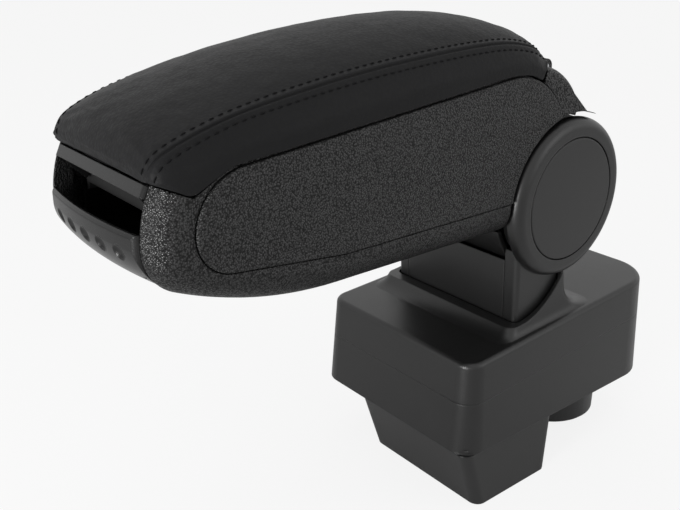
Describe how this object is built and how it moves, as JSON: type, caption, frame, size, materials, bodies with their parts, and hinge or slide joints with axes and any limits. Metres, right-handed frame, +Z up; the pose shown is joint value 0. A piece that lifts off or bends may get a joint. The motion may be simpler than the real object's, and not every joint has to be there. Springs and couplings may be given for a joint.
{
  "type": "car centre armrest",
  "caption": "Padded car armrest with a lidded bin and a front drawer, swinging on a round hinge post whose base plugs into the wells of a centre console.",
  "frame": {"origin": "on the flat foot of the rectangular base plug, in the middle plane of the arm", "axes": "+X across the car to the side of the plug's flush wall, -Y towards the front end of the arm, +Z up out of the console"},
  "size_m": [0.1248, 0.3563, 0.2689],
  "materials": {
    "pad_leather": "smooth black, low sheen",
    "grained_plastic": "pebble grain, semi-gloss",
    "satin_plastic": "fine satin",
    "smooth_plastic": "smooth semi-gloss",
    "liner_plastic": "matte moulded",
    "zinc_steel": "zinc plated",
    "washer_fibre": "pressed friction fibre"
  },
  "bodies": {
    "base": {"base_plug": "satin_plastic", "base_cover": "satin_plastic", "post_bracket": "zinc_steel", "foot_screws": "zinc_steel", "post_center_shell": "satin_plastic", "hinge_cheek_right": "satin_plastic", "hinge_cheek_left": "satin_plastic", "hinge_cap_right": "satin_plastic", "hinge_cap_left": "satin_plastic", "pivot_bolt": "zinc_steel", "pivot_nut": "zinc_steel", "friction_washers": "washer_fibre"},
    "arm": {"arm_tub": "grained_plastic", "side_panel_right": "grained_plastic", "side_panel_left": "grained_plastic", "arm_bracket": "zinc_steel", "bracket_screws": "zinc_steel", "hinge_sleeve": "satin_plastic", "pivot_spacer": "zinc_steel", "storage_bin": "liner_plastic", "drawer_housing": "liner_plastic", "lid_hinge_pin": "zinc_steel"},
    "drawer": {"drawer": "smooth_plastic"},
    "lid": {"lid_base": "liner_plastic", "lid_pad": "pad_leather", "latch_pin": "zinc_steel"},
    "latch": {"latch_bar": "smooth_plastic"}
  },
  "joints": [
    {"name": "arm_tilt", "type": "hinge", "parent": "base", "child": "arm", "pos_m": [0, 0.04, 0.169], "axis": [-1, 0, 0], "range_deg": [0, 90]},
    {"name": "lid_swing", "type": "hinge", "parent": "arm", "child": "lid", "pos_m": [0, 0.03, 0.24], "axis": [-1, 0, 0], "range_deg": [0, 80]},
    {"name": "drawer_slide", "type": "slide", "parent": "arm", "child": "drawer", "axis": [0, -1, 0], "range_m": [0, 0.087]},
    {"name": "latch_pull", "type": "hinge", "parent": "lid", "child": "latch", "pos_m": [0, -0.2034, 0.2193], "axis": [-1, 0, 0], "range_deg": [0, 10], "stiffness_Nm_per_rad": 0.25, "springref_deg": -5.73}
  ]
}
